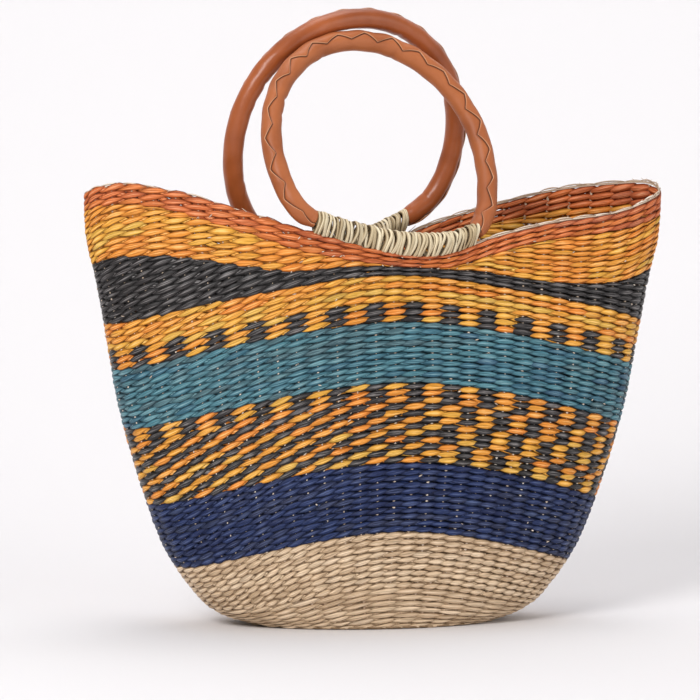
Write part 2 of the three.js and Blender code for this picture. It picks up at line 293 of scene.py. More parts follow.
def tubes(centre, a, b, half_a, half_b, sides, closed=False):
    """Many tubes at once, n of k points each, with a radius and a direction for each of two sides.

    Returns vertices, quads, end caps, the share along and the share from one edge to the other.
    """
    n, k = centre.shape[:2]
    angle = np.arange(sides) * TAU / sides
    ca, sa = np.cos(angle), np.sin(angle)
    ring = (
        centre[:, :, None]
        + a[:, :, None] * (half_a[:, :, None] * ca)[..., None]
        + b[:, :, None] * (half_b[:, :, None] * sa)[..., None]
    )
    index = np.arange(n * k * sides).reshape(n, k, sides)
    nxt = np.roll(index, -1, axis=2)
    if closed:
        here, there = index, np.roll(index, -1, axis=1)
        here_n, there_n = nxt, np.roll(nxt, -1, axis=1)
    else:
        here, there, here_n, there_n = index[:, :-1], index[:, 1:], nxt[:, :-1], nxt[:, 1:]
    quads = np.stack([here, here_n, there_n, there], -1).reshape(-1, 4)
    caps = [] if closed else [index[:, 0, ::-1], index[:, -1]]
    along = np.broadcast_to(np.linspace(0, 1, k)[None, :, None], (n, k, sides)).ravel()
    around = np.broadcast_to((0.5 + 0.5 * np.sin(angle))[None, None], (n, k, sides)).ravel()
    return ring.reshape(-1, 3), quads, caps, along, around


class Bundle:
    """Stitches gathered into one piece."""

    def __init__(self):
        self.parts = []

    def add(self, verts, quads, caps, along, around, tint):
        self.parts.append((verts, quads, caps, along, around, tint))

    def build(self, name, slot, material):
        start = 0
        verts, quads, caps, uvs, tints = [], [], {}, [], []
        for v, q, c, along, around, tint in self.parts:
            verts.append(v)
            quads.append(q + start)
            for cap in c:
                caps.setdefault(cap.shape[1], []).append(cap + start)
            uvs.append(np.stack([along, around], -1))
            tints.append(tint)
            start += len(v)
        ngons = [np.concatenate(c) for c in caps.values()]
        return mesh_object(
            name,
            np.concatenate(verts),
            np.concatenate(quads),
            material,
            {"tint": np.concatenate(tints)},
            np.concatenate(uvs),
            ngons,
        )


# Materials


def math_node(tree, operation, first, second=None, third=None):
    """Result of one sum on sockets or numbers."""
    n = tree.nodes.new("ShaderNodeMath")
    n.operation = operation
    for socket, value in zip(n.inputs, (first, second, third)):
        if value is None:
            continue
        if isinstance(value, (int, float)):
            socket.default_value = value
        else:
            tree.links.new(value, socket)
    return n.outputs[0]


def range_node(tree, value, low, high, to_low, to_high, smooth=False):
    n = tree.nodes.new("ShaderNodeMapRange")
    n.interpolation_type = "SMOOTHSTEP" if smooth else "LINEAR"
    tree.links.new(value, n.inputs["Value"])
    for key, number in (("From Min", low), ("From Max", high), ("To Min", to_low), ("To Max", to_high)):
        n.inputs[key].default_value = number
    return n.outputs[0]


def noise_node(tree, place, scale, detail):
    """Noise on a place that is stretched by the three scales."""
    stretch = tree.nodes.new("ShaderNodeVectorMath")
    stretch.operation = "MULTIPLY"
    stretch.inputs[1].default_value = scale
    tree.links.new(place, stretch.inputs[0])
    n = tree.nodes.new("ShaderNodeTexNoise")
    n.inputs["Scale"].default_value = 1.0
    n.inputs["Detail"].default_value = detail
    tree.links.new(stretch.outputs[0], n.inputs["Vector"])
    return n.outputs["Fac"]


def ramp_node(tree, value, colours, low=0.0, high=1.0):
    n = tree.nodes.new("ShaderNodeValToRGB")
    while len(n.color_ramp.elements) < len(colours):
        n.color_ramp.elements.new(0.5)
    for i, (element, colour) in enumerate(zip(n.color_ramp.elements, colours)):
        element.position = low + (high - low) * i / (len(colours) - 1)
        element.color = (*colour, 1)
    tree.links.new(value, n.inputs[0])
    return n.outputs[0]


def new_material(name, roughness, specular):
    material = bpy.data.materials.new(name)
    material.use_nodes = True
    shader = material.node_tree.nodes["Principled BSDF"]
    shader.inputs["Roughness"].default_value = roughness
    shader.inputs["Specular IOR Level"].default_value = specular
    return material, material.node_tree, shader


def bump_node(tree, height, strength, distance, below=None):
    n = tree.nodes.new("ShaderNodeBump")
    n.inputs["Strength"].default_value = strength
    n.inputs["Distance"].default_value = distance
    tree.links.new(height, n.inputs["Height"])
    if below is not None:
        tree.links.new(below, n.inputs["Normal"])
    return n.outputs[0]


# Noise scales along a strand, across it and between strands, and how far a tint shifts the noise.
STREAK_SCALE = (1.5, 9.0, 1.0)
PATCH_SCALE = (2.2, 3.5, 1.0)
TINT_SHIFTS = (11.0, 37.0)
# Ranges of the painted shade, painted highlight, streaks and patches: two places and the share at each.
# Places run from 0 at a strand's crown or middle to
# 1 at its edge or tip, and for streaks, patches and the painted highlight's lines they are values of the
# noise.
# Painted shade: the colour darkens towards a strand's edges and ends, where the neighbouring stitches shade
# it.
SIDE_SHADE_RANGE = (0.45, 0.98, 1.0, 0.12)
TIP_SHADE_RANGE = (0.35, 0.95, 1.0, 0.3)
STREAK_RANGE = (0.3, 0.7, 0.62, 1.3)
PATCH_RANGE = (0.3, 0.7, 0.84, 1.14)
# Painted highlight: where pale lines show on a strand's crown and middle, and the noise values between which
# they fade in.
CROWN_ACROSS = (0.15, 0.75, 1.0, 0.0)
CROWN_ALONG = (0.1, 0.8, 1.0, 0.0)
HIGHLIGHT_FROM = 0.48
HIGHLIGHT_TO = 0.62


def straw_material(name, colours, deep, pale, roughness=0.5, specular=0.25):
    """Dyed straw: a tint for each strand, streaks, a painted highlight of pale lines on its crown, and
    painted shade that darkens its edges and ends.

    The third argument is the colour of the painted shade; the fourth holds the colour of the painted
    highlight and how much of it shows.
    """
    material, tree, shader = new_material(name, roughness, specular)
    link = tree.links.new
    tint = tree.nodes.new("ShaderNodeAttribute")
    tint.attribute_name = "tint"
    tint = tint.outputs["Fac"]
    uv = tree.nodes.new("ShaderNodeUVMap")
    uv.uv_map = "UVMap"
    shift = tree.nodes.new("ShaderNodeCombineXYZ")
    link(math_node(tree, "MULTIPLY", tint, TINT_SHIFTS[1]), shift.inputs[2])
    link(math_node(tree, "MULTIPLY", tint, TINT_SHIFTS[0]), shift.inputs[1])
    place = tree.nodes.new("ShaderNodeVectorMath")
    place.operation = "ADD"
    link(uv.outputs[0], place.inputs[0])
    link(shift.outputs[0], place.inputs[1])
    place = place.outputs[0]
    fine = noise_node(tree, place, STREAK_SCALE, 3.0)
    broad = noise_node(tree, place, PATCH_SCALE, 1.0)
    parts = tree.nodes.new("ShaderNodeSeparateXYZ")
    link(uv.outputs[0], parts.inputs[0])
    off_crown = math_node(tree, "ABSOLUTE", math_node(tree, "MULTIPLY_ADD", parts.outputs[1], 2.0, -1.0))
    off_middle = math_node(tree, "ABSOLUTE", math_node(tree, "MULTIPLY_ADD", parts.outputs[0], 2.0, -1.0))
    # Painted shade at the strand's edges and ends, mixed towards the deep colour.
    side = range_node(tree, off_crown, *SIDE_SHADE_RANGE, True)
    tip = range_node(tree, off_middle, *TIP_SHADE_RANGE, True)
    streak = range_node(tree, fine, *STREAK_RANGE)
    patch = range_node(tree, broad, *PATCH_RANGE)
    base = tree.nodes.new("ShaderNodeVectorMath")
    base.operation = "SCALE"
    link(ramp_node(tree, tint, colours), base.inputs[0])
    link(math_node(tree, "MULTIPLY", streak, patch), base.inputs["Scale"])
    shaded = tree.nodes.new("ShaderNodeMix")
    shaded.data_type = "RGBA"
    link(math_node(tree, "MULTIPLY", side, tip), shaded.inputs["Factor"])
    shaded.inputs[6].default_value = (*deep, 1)
    link(base.outputs[0], shaded.inputs[7])
    # Painted highlight: pale lines on the crown of the strand.
    crown = math_node(
        tree,
        "MULTIPLY",
        range_node(tree, off_crown, *CROWN_ACROSS, True),
        range_node(tree, off_middle, *CROWN_ALONG, True),
    )
    highlight_amount = math_node(tree, "MULTIPLY", crown, range_node(tree, fine, HIGHLIGHT_FROM, HIGHLIGHT_TO, 0.0, pale[1]))
    mix = tree.nodes.new("ShaderNodeMix")
    mix.data_type = "RGBA"
    link(highlight_amount, mix.inputs["Factor"])
    link(shaded.outputs[2], mix.inputs[6])
    mix.inputs[7].default_value = (*pale[0], 1)
    link(mix.outputs[2], shader.inputs["Base Color"])
    link(bump_node(tree, fine, 0.5, 0.0006), shader.inputs["Normal"])
    return material


def srgb(r, g, b):
    """Linear colour of an sRGB colour given in 0 to 255."""
    c = np.array([r, g, b]) / 255
    return tuple(float(x) for x in np.where(c <= 0.04045, c / 12.92, ((c + 0.055) / 1.055) ** 2.4))


# Each straw: its tints, the colour of the painted shade at edges and ends, and the colour and amount of the
# painted highlight.
NATURAL = straw_material(
    "straw_natural",
    [srgb(182, 152, 118), srgb(206, 176, 142), srgb(220, 192, 158), srgb(236, 210, 180)],
    srgb(104, 76, 48),
    (srgb(250, 230, 204), 0.55),
)
NAVY = straw_material(
    "straw_navy",
    [srgb(18, 26, 56), srgb(24, 36, 76), srgb(30, 46, 90), srgb(44, 50, 78), srgb(38, 62, 108)],
    srgb(6, 10, 28),
    (srgb(112, 126, 164), 0.5),
)
TEAL = straw_material(
    "straw_teal",
    [srgb(46, 72, 106), srgb(58, 104, 122), srgb(74, 124, 136), srgb(72, 98, 106), srgb(100, 152, 160)],
    srgb(8, 26, 36),
    (srgb(160, 194, 198), 0.5),
)
OCHRE = straw_material(
    "straw_ochre",
    [
        srgb(194, 156, 76),
        srgb(222, 172, 72),
        srgb(232, 164, 56),
        srgb(228, 148, 50),
        srgb(226, 130, 44),
        srgb(230, 158, 58),
        srgb(208, 158, 78),
    ],
    srgb(96, 44, 4),
    (srgb(255, 216, 144), 0.6),
)
BLACK = straw_material(
    "straw_black",
    [srgb(20, 17, 17), srgb(30, 26, 26), srgb(36, 32, 32), srgb(56, 51, 51)],
    srgb(8, 6, 5),
    (srgb(168, 162, 160), 0.6),
    roughness=0.42,
    specular=0.35,
)
RUST = straw_material(
    "straw_rust",
    [srgb(160, 88, 62), srgb(186, 94, 52), srgb(202, 102, 48), srgb(208, 112, 50), srgb(226, 140, 62)],
    srgb(88, 22, 4),
    (srgb(246, 182, 136), 0.55),
)
EDGE = straw_material(
    "straw_edge",
    [srgb(206, 182, 160), srgb(226, 206, 186), srgb(240, 226, 208)],
    srgb(150, 118, 88),
    (srgb(252, 242, 230), 0.5),
)
CORD = straw_material(
    "cord_natural",
    [srgb(180, 158, 120), srgb(208, 188, 150), srgb(232, 216, 182)],
    srgb(84, 62, 34),
    (srgb(250, 240, 214), 0.55),
)


# Noise scales of leather, per metre
LEATHER_PATCHES = (26, 26, 26)
LEATHER_PORES = (1300, 1300, 1300)
LEATHER_CREASES = (140, 140, 140)


def leather_material(name, colours, roughness):
    """Tan leather with pores, soft creases, a dark line in the seam that is painted shadow beside the folded
    flap's edge, and a paler cut edge beside it.
    """
    material, tree, shader = new_material(name, roughness, 0.4)
    link = tree.links.new
    place = tree.nodes.new("ShaderNodeTexCoord").outputs["Object"]
    patch = noise_node(tree, place, LEATHER_PATCHES, 4.0)
    pore = noise_node(tree, place, LEATHER_PORES, 2.0)
    crease = noise_node(tree, place, LEATHER_CREASES, 4.0)
    colour = ramp_node(tree, patch, colours, 0.32, 0.7)
    # The seam colour is painted shadow: a dark line beside the folded flap's edge. The cut colour is the
    # leather's own paler cut edge.
    for key, shade in (("cut", srgb(226, 172, 130)), ("seam", srgb(66, 26, 10))):
        mark = tree.nodes.new("ShaderNodeAttribute")
        mark.attribute_name = key
        mix = tree.nodes.new("ShaderNodeMix")
        mix.data_type = "RGBA"
        link(mark.outputs["Fac"], mix.inputs["Factor"])
        link(colour, mix.inputs[6])
        mix.inputs[7].default_value = (*shade, 1)
        colour = mix.outputs[2]
    link(colour, shader.inputs["Base Color"])
    fine = bump_node(tree, pore, 0.14, 0.0003)
    link(bump_node(tree, crease, 0.3, 0.0012, fine), shader.inputs["Normal"])
    return material


LEATHER_FRONT = leather_material(
    "leather_tan_front",
    [srgb(152, 82, 42), srgb(170, 96, 52), srgb(182, 106, 60)],
    0.5,
)
# The back cover is the same tan leather as the front's, painted darker as shade.
LEATHER_BACK_SHADED = leather_material(
    "leather_tan_back_shaded",
    [srgb(136, 68, 34), srgb(156, 82, 42), srgb(170, 92, 50)],
    0.33,
)

# The twined wall

OUTER_POINTS = 8
OUTER_SIDES = 7
INNER_POINTS = 6
INNER_SIDES = 5
BASE_POINTS = 8
BASE_SIDES = 6
STAKE_LEVELS = 24
STAKE_SIDES = 5
STAKE_DEEP = 0.8
STAKE_WIDE = 1.3
FLECK_POINTS = 4
FLECK_SIDES = 4
STITCH_REACH = 0.84
STITCH_POINT = 1.4
INNER_POINT = 2.6
STITCH_BOW = 1.15
STITCH_HALF_WIDTH = 0.56
INNER_HALF_WIDTH = 0.6
STITCH_EDGE_DEPTH = 0.25
STITCH_CROWN_DEPTH = 0.85
# Spread from stitch to stitch: place up the wall, skew, bow, width, place round it, reach and lean
ROW_WANDER = 0.16
SKEW_SPREAD = 0.1
BOW_SPREAD = 0.14
WIDTH_SPREAD = 0.08
STAKE_WANDER = 0.04
REACH_RANGE = (0.93, 1.07)
LEAN_RANGE = (0.7, 1.25)
COARSE_ROWS = 7
THIN_ROW = 0.2
DRAWN_FROM = 0.12
EDGE_SPACE = 1.2
# Rise of a stitch from its middle to its end, in row heights, by share of the half length.
LEAN = {"across": [-1, -0.7, -0.35, 0, 0.5, 1], "rise": [0.5, 0.56, 0.44, 0.26, 0.24, 0.34]}


def row_runs(rows, count):
    """A tint for each stitch that drifts along its row, as lengths of straw are joined in."""
    tint = np.empty((rows, count))
    for r in range(rows):
        cuts = np.sort(rng.integers(0, count, 7))
        level = rng.uniform(0.12, 0.88, 8)
        tint[r] = level[np.searchsorted(cuts, np.arange(count), side="right")]
    return np.clip(0.62 * tint + 0.38 * rng.random((rows, count)), 0, 1)


def wall_rows():
    """Every row as (middle distance and thickness at each stake, band name, row in the band)."""
    stakes = np.arange(STAKES)
    across = np.cos(TAU * weave.turn(stakes))
    black = follow(WEDGES, "across", "black", across)
    ochre = np.clip(follow(WEDGES, "across", "ochre", across), 0, None)
    parts = []
    for band, count in (("black", black), ("upper", ochre), ("rust", np.full(STAKES, float(RUST_ROWS)))):
        for r in range(int(math.ceil(count.max()))):
            parts.append((np.clip((count - r - THIN_ROW) / (1 - THIN_ROW), 0, 1), band, r))
    rest = weave.stake_length(stakes) - EDGE_SPACE - PLAIN_HEIGHT
    pitch = rest / sum(part[0] for part in parts)
    rows = []
    base = np.zeros(STAKES)
    for band, count, height in BANDS:
        for r in range(count):
            rows.append((base + height / 2, np.full(STAKES, height), band, r))
            base = base + height
    for share, band, r in parts:
        rows.append((base + share * pitch / 2, share * pitch, band, r))
        base = base + share * pitch
    return rows


def band_colour(band, r, stake, across):
    """Which of two colours a stitch has: False for the band's own, True for the black of a pattern."""
    if band == "lower":
        return (stake % 2 == 0) & (r < LADDER_ROWS)
    if band == "pattern":
        band_rows = next(rows for name, rows, height in BANDS if name == band)
        from_top = band_rows - 1 - r
        if from_top < LADDER_ROWS:
            return stake % 2 == 0
        stripe = (stake + from_top) % 2 == 0
        block = (stake + from_top // BLOCK_ROWS) % 2 == 0
        return np.where(across < BLOCKS_FROM, stripe, block)
    return np.zeros(len(stake), bool)


def at_stakes(values, w):
    """Values known at the whole stakes, at any place round the wall."""
    w = np.mod(w, STAKES)
    return np.interp(w, np.arange(STAKES + 1), np.append(values, values[0]))


def stitches(w, row, reach, lean, side, tint, bundle):
    """Leaf-shaped stitches on the outside (side 1) or inside (side -1) of the wall."""
    n = len(w)
    points, sides = (OUTER_POINTS, OUTER_SIDES) if side > 0 else (INNER_POINTS, INNER_SIDES)
    middle, thick = row
    t = np.linspace(-1, 1, points)[None]
    w_at = w[:, None] + t * reach[:, None] * side
    own = at_stakes(thick, w)[:, None]
    s_at = at_stakes(middle, w_at) + lean[:, None] * t * own + rng.normal(0, ROW_WANDER, (n, 1))
    s_at = np.minimum(s_at, weave.stake_length(w_at) - EDGE_SPACE - 0.25 * own)
    point, along, up, out = weave.frame(w_at, s_at)
    skew = rng.normal(0, SKEW_SPREAD, (n, 1))
    power = STITCH_POINT if side > 0 else INNER_POINT
    skewed = np.clip(t + skew * (1 - t * t), -1, 1)
    leaf = np.clip(1 - np.abs(skewed) ** power, 0, 1)
    bow = STITCH_BOW * (np.cos(t * math.pi / 2) - 0.45) * (1 + rng.normal(0, BOW_SPREAD, (n, 1)))
    centre = point + out * (side * bow)[..., None]
    full = STITCH_HALF_WIDTH if side > 0 else INNER_HALF_WIDTH
    wide = own * full * (0.05 + 0.95 * leaf) * (1 + rng.normal(0, WIDTH_SPREAD, (n, 1)))
    deep = STITCH_EDGE_DEPTH + STITCH_CROWN_DEPTH * leaf + 0 * wide
    verts, quads, caps, u, v = tubes(centre, out * side, up, deep, wide, sides)
    bundle.add(verts, quads, caps, u, v, np.repeat(tint, points * sides))


def build_wall():
    """The bands of twined straw, gathered by colour."""
    names = ("natural", "navy", "teal", "ochre", "black", "rust")
    bundles = {name: Bundle() for name in names}
    stakes = np.arange(STAKES)
    across = np.cos(TAU * weave.turn(stakes))
    rows = wall_rows()
    tints = row_runs(len(rows), STAKES)
    for number, (middle, thick, band, r) in enumerate(rows):
        coarse = band == "natural" and r < COARSE_ROWS
        keep = thick > DRAWN_FROM * ROW_PITCH
        if coarse:
            keep &= stakes % 2 == 0
        dark = band_colour(band, r, stakes, across)
        for flag in (False, True):
            pick = keep & (dark == flag)
            if not pick.any():
                continue
            count = pick.sum()
            w = stakes[pick] + rng.normal(0, STAKE_WANDER, count) + (0.5 if coarse else 0)
            reach = STITCH_REACH * (2 if coarse else 1) * rng.uniform(*REACH_RANGE, count)
            lean = follow(LEAN, "across", "rise", across[pick]) * rng.uniform(*LEAN_RANGE, count)
            bundle = bundles["black" if flag else BAND_STRAW[band]]
            tint = tints[number][pick]
            stitches(w, (middle, thick), reach, lean, 1, tint, bundle)
            stitches(w + 0.5, (middle, thick), reach, lean, -1, tint, bundle)
    materials = dict(natural=NATURAL, navy=NAVY, teal=TEAL, ochre=OCHRE, black=BLACK, rust=RUST)
    for name in names:
        piece = bundles[name].build("weave_" + name, "straw_" + name, materials[name])
        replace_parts(piece, "basket_body")


def add_flecks(bundle):
    """Pale bits of stake and straw end that show between the stitches, mostly in a few columns."""
    edges = []
    for middle, thick, band, r in wall_rows():
        if band != "natural":
            edges.append(middle - thick / 2)
    edges = np.array(edges)
    chance = np.where(rng.random(STAKES) < 0.2, 0.2, 0.035)
    row, stake = np.nonzero(rng.random(edges.shape) < chance[None])
    n = len(row)
    t = np.linspace(-1, 1, FLECK_POINTS)[None]
    half = rng.uniform(0.03, 0.11, (n, 1))
    w_at = stake[:, None] + rng.choice([0.0, 0.5, 0.5], (n, 1)) + rng.normal(0, 0.05, (n, 1)) + t * half
    s_at = edges[row, stake][:, None] + rng.normal(0, 0.3, (n, 1)) + t * rng.uniform(-0.5, 0.9, (n, 1))
    point, along, up, out = weave.frame(w_at, s_at)
    centre = point + out * rng.uniform(0.9, 1.35, (n, 1, 1))
    radius = rng.uniform(0.3, 0.75, (n, 1)) * (1 - 0.7 * t**2)
    verts, quads, caps, u, v = tubes(centre, out, up, radius, radius, FLECK_SIDES)
    bundle.add(verts, quads, caps, 0.35 + 0.3 * u, v, np.repeat(rng.random(n), FLECK_POINTS * FLECK_SIDES))


def build_stakes():
    """Upright stakes that the stitches are twined round."""
    w = np.arange(STAKES, dtype=float)
    level = np.linspace(0.004, 0.995, STAKE_LEVELS)[None]
    s = level * weave.stake_length(w)[:, None]
    point, along, up, out = weave.frame(w[:, None] + 0 * level, s)
    deep = np.full(s.shape, STAKE_DEEP)
    wide = np.full(s.shape, STAKE_WIDE)
    verts, quads, caps, u, v = tubes(point, out, along, deep, wide, STAKE_SIDES)
    bundle = Bundle()
    bundle.add(verts, quads, caps, u, v, np.repeat(rng.random(STAKES), STAKE_LEVELS * STAKE_SIDES))
    add_flecks(bundle)
    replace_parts(bundle.build("stakes", "straw_edge", EDGE), "basket_body")


def base_frame(w, share, depth):
    """Places in the flat base: share 0 at its middle line, 1 at its edge."""
    turn = weave.turn(w)
    edge = wall_point(turn, np.zeros_like(turn))
    spine = (BASE_LENGTH - BASE_DEPTH) / 2
    middle = np.stack([spine * np.cos(TAU * turn), 0 * turn, 0 * turn], -1)
    point = middle + (edge - middle) * share[..., None]
    inward = unit(middle - edge)
    down = np.broadcast_to([0.0, 0.0, -1.0], inward.shape)
    return point + np.array([0, 0, WALL / 2]) + down * depth[..., None], inward, down


def build_base():
    """Oval rows of twining in the flat base."""
    bundle = Bundle()
    rows = int(round(BASE_DEPTH / 2 / ROW_PITCH))
    for r in range(rows):
        share = (r + 0.5) / rows
        step = 2 if share > 0.45 else 4
        for side in (1, -1):
            stakes = np.arange(0, STAKES, step)
            w = stakes + 0.5 * step * (side < 0) + rng.normal(0, 0.05, len(stakes))
            t = np.linspace(-1, 1, BASE_POINTS)[None]
            w_at = w[:, None] + t * STITCH_REACH * step * side
            share_at = np.clip(share - np.sin(t * 1.3) * 0.5 / rows, 0.02, 0.99) + 0 * w_at
            bow = (np.cos(t * math.pi / 2) ** 0.8 * 0.95 - 0.55) * side + 0 * w_at
            centre, inward, down = base_frame(w_at, share_at, bow)
            taper = np.clip(1 - np.abs(t) ** 2.6, 0, 1) ** 0.6
            wide = ROW_PITCH * 0.54 * (0.24 + 0.76 * taper) + 0 * w_at
            deep = 0.45 + 0.4 * taper + 0 * w_at
            verts, quads, caps, u, v = tubes(centre, down * side, inward, deep, wide, BASE_SIDES)
            bundle.add(verts, quads, caps, u, v, np.repeat(rng.random(len(w)), BASE_POINTS * BASE_SIDES))
    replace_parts(bundle.build("weave_base", "straw_natural", NATURAL), "basket_body")


# How far the border strand stands above the edge, by degrees round as in RIM_LINE.
STRAND = {
    "turn": [0, 40, 90, 140, 180, 230, 262, 278, 300, 330, 360],
    "rise": [1.3, 1.2, 1.0, 0.7, -0.6, -1.1, -1.0, 0.1, 0.9, 1.1, 1.3],
}


LOOP_POINTS = 12
LOOP_SIDES = 6
STRAND_RADIUS = 0.9
END_POINTS = 4
END_SIDES = 5
# Number of cut ends all round the rim and at the right end, and how far these spread in stakes
ENDS_ROUND = 24
ENDS_RIGHT = 26
ENDS_SPREAD = 1.6


def edge_frame(w):
    """Rise of the border strand, point, and along, up and out directions at the wall's edge."""
    point, along, up, out = weave.frame(w, weave.stake_length(w))
    base = follow(STRAND, "turn", "rise", np.mod(weave.turn(w), 1) * 360, True)
    return base, point, along, up, out


def add_loops(bundle):
    """Loops of pale strand, each from one stake to the next."""
    t = np.linspace(-1, 1, LOOP_POINTS)[None]
    stakes = np.arange(STAKES)[:, None]
    w_at = stakes + t * rng.uniform(0.5, 0.85, (STAKES, 1)) + rng.normal(0, 0.12, (STAKES, 1))
    base, point, along, up, out = edge_frame(w_at)
    rise = base - 1.1 + np.cos(t * math.pi / 2) ** 0.7 * (1.1 + rng.normal(0, 0.35, (STAKES, 1)))
    sway = np.sin(t * 1.9) * 0.8 * rng.uniform(0.4, 1.3, (STAKES, 1)) - 0.4
    centre = point + up * rise[..., None] + out * sway[..., None]
    radius = 0.25 + 0.38 * np.cos(t * math.pi / 2) + 0 * w_at
    verts, quads, caps, u, v = tubes(
        centre, unit(out + up), unit(up - out), radius * 0.85, radius * 1.2, LOOP_SIDES
    )
    bundle.add(verts, quads, caps, u, v, np.repeat(rng.random(STAKES), LOOP_POINTS * LOOP_SIDES))


def add_closed_strand(bundle):
    """The strand that runs unbroken under the loops."""
    w_at = np.linspace(0, STAKES, STAKES * 4, endpoint=False)[None]
    base, point, along, up, out = edge_frame(w_at)
    centre = point + up * (base - 1.5)[..., None] - out * 0.5
    radius = np.full(w_at.shape, STRAND_RADIUS)
    verts, quads, caps, u, v = tubes(
        centre, unit(out + up), unit(up - out), radius, radius, LOOP_SIDES, closed=True
    )
    bundle.add(verts, quads, caps, 0.5 + 0 * u, v, np.full(len(verts), 0.4))


def add_cut_ends(bundle):
    """Cut ends of stakes, most of them at the right end."""
    all_round = rng.uniform(0, STAKES, ENDS_ROUND)
    at_right = STAKE_AT_RIGHT + rng.normal(0, ENDS_SPREAD, ENDS_RIGHT)
    ends = np.concatenate([all_round, at_right])
    side = rng.choice([-1.0, 1.0], len(ends))
    t = np.linspace(0, 1, END_POINTS)[None]
    w_at = ends[:, None] + side[:, None] * t * rng.uniform(0.1, 0.4, (len(ends), 1))
    base, point, along, up, out = edge_frame(w_at)
    rise = base - 1 + t * rng.uniform(0.6, 2.8, (len(ends), 1))
    centre = point + up * rise[..., None] + out * (t * rng.normal(0, 1.0, (len(ends), 1)))[..., None]
    radius = 0.55 - 0.3 * t + 0 * w_at
    verts, quads, caps, u, v = tubes(centre, out, along, radius, radius, END_SIDES)
    bundle.add(verts, quads, caps, 0.3 + 0.4 * u, v, np.repeat(rng.random(len(ends)), END_POINTS * END_SIDES))


def build_border():
    """Pale strand along the rim, with the ends that stick out of it."""
    bundle = Bundle()
    add_loops(bundle)
    add_closed_strand(bundle)
    add_cut_ends(bundle)
    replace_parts(bundle.build("rim_strand", "straw_edge", EDGE), "rim_border")


# Handles


def rim_frame(turn):
    """Point on the middle of the rim with its up and out directions."""
    point, up, out = wall_frame(turn, rim_height(turn))
    return point - out * WALL / 2, up, out


def turn_at(side, x):
    """Share of a turn at which the front or back rim stands at places along X."""
    x = np.asarray(x, float)
    low, high = np.zeros(x.shape), np.full(x.shape, 0.5)
    for _ in range(40):
        mid = (low + high) / 2
        point, _, _ = rim_frame(side * mid)
        beyond = point[..., 0] > x
        low, high = np.where(beyond, mid, low), np.where(beyond, high, mid)
    return side * (low + high) / 2


SEAT_HEIGHT = CLEARANCE + BORDER_HEIGHT + LASHING_LIFT + LASHING_RADIUS


def seat_at(side, x):
    """Centre of a ring that lies on the front or back rim at places along X."""
    point, up, out = rim_frame(turn_at(side, x))
    return point + up * SEAT_HEIGHT


class Ring:
    """Closed centre line of one ring: a leaning circle flattened where it lies along the rim."""

    def __init__(self, side, radius, across, lean, rise, corner, lashed, settle, drawn, raised):
        self.side, self.radius, self.rise, self.corner = side, radius, rise, corner
        self.lashed, self.settle, self.drawn, self.raised = lashed, settle, drawn, raised
        angle = math.radians(lean)
        self.along = np.array([math.cos(MOUTH_TURN), math.sin(MOUTH_TURN), 0])
        level = np.array([-math.sin(MOUTH_TURN), math.cos(MOUTH_TURN), 0])
        self.upward = math.cos(angle) * np.array([0, 0, 1.0]) + math.sin(angle) * level
        self.lift = math.cos(angle)
        self.seat = seat_at(side, across)

    def point(self, t):
        angle = TAU * np.asarray(t, float)
        sideways = self.radius * np.sin(angle)
        circle = self.rise - self.radius * np.cos(angle)
        rim = seat_at(self.side, self.seat[0] + sideways * self.along[0])
        flat = (rim[..., 2] - self.seat[2]) / self.lift
        up = (circle + flat + np.hypot(circle - flat, self.corner)) / 2
        low = smoothstep(np.cos(angle), 0.0, 0.7)
        up = up - low * (self.settle + self.drawn * np.clip(np.sin(angle), 0, 1) ** 2)
        up = up + self.raised * np.clip(-np.cos(angle), 0, 1)
        return self.seat + self.along * sideways[..., None] + self.upward * up[..., None]

    def lashed_share(self, spare):
        return math.asin(min((self.lashed / 2 + spare) / self.radius, 1)) / TAU

    def path(self, start, end, count):
        """Evenly spaced points from one share of the turn to another, with cross directions."""
        t = np.linspace(start, end, 1200)
        p = self.point(t)
        run = np.r_[0, np.cumsum(np.linalg.norm(np.diff(p, axis=0), axis=1))]
        even = np.interp(np.linspace(0, run[-1], count), run, t)
        p = self.point(even)
        forward = unit(np.gradient(p, axis=0))
        normal = np.broadcast_to(unit(np.cross(self.upward, self.along)), p.shape)
        outward = unit(np.cross(normal, forward))
        return p, forward, outward, normal, np.linspace(0, run[-1], count), even


def saw(x, rise=0.58):
    """Triangle wave from 0 to 1 with a slow rise and a quicker fall."""
    f = np.mod(x, 1)
    return np.where(f < rise, f / rise, (1 - f) / (1 - rise))


# The seam's place round the tube, from the ring's outer side towards its front, by share of the
# ring's turn from the bottom by way of the right.
SEAMS = {
    "front": {"turn": [0, 0.12, 0.25, 0.5, 0.75, 0.9, 1], "angle": [1.75, 1.75, 1.7, 1.42, 0.72, 0.8, 1]},
    "back": {"turn": [0, 0.12, 0.25, 0.5, 0.75, 1], "angle": [0.85, 0.75, 0.45, -0.6, -1.3, -1.5]},
}
SEAM_SWING = {"front": 6.8, "back": 4.0}
SEAM_PITCH = 22.5
COVER_POINTS = 330
# Size of the uneven ripple of each cover, and how many waves it is made of
RIPPLE = {"front": 0.05, "back": 0.03}
RIPPLE_WAVES = 16
# Puckers on the inner side of the bend: share of the ring's turn and depth
PUCKERS = {
    "turn": [0.16, 0.31, 0.44, 0.56, 0.665, 0.69, 0.8, 0.88],
    "depth": [0.5, 0.6, 0.7, 0.5, 1.5, 0.9, 0.7, 0.6],
}
PUCKER_LENGTH = 2.6
COVER_SUNK = 0.8
FLAP_THICK = 1.0


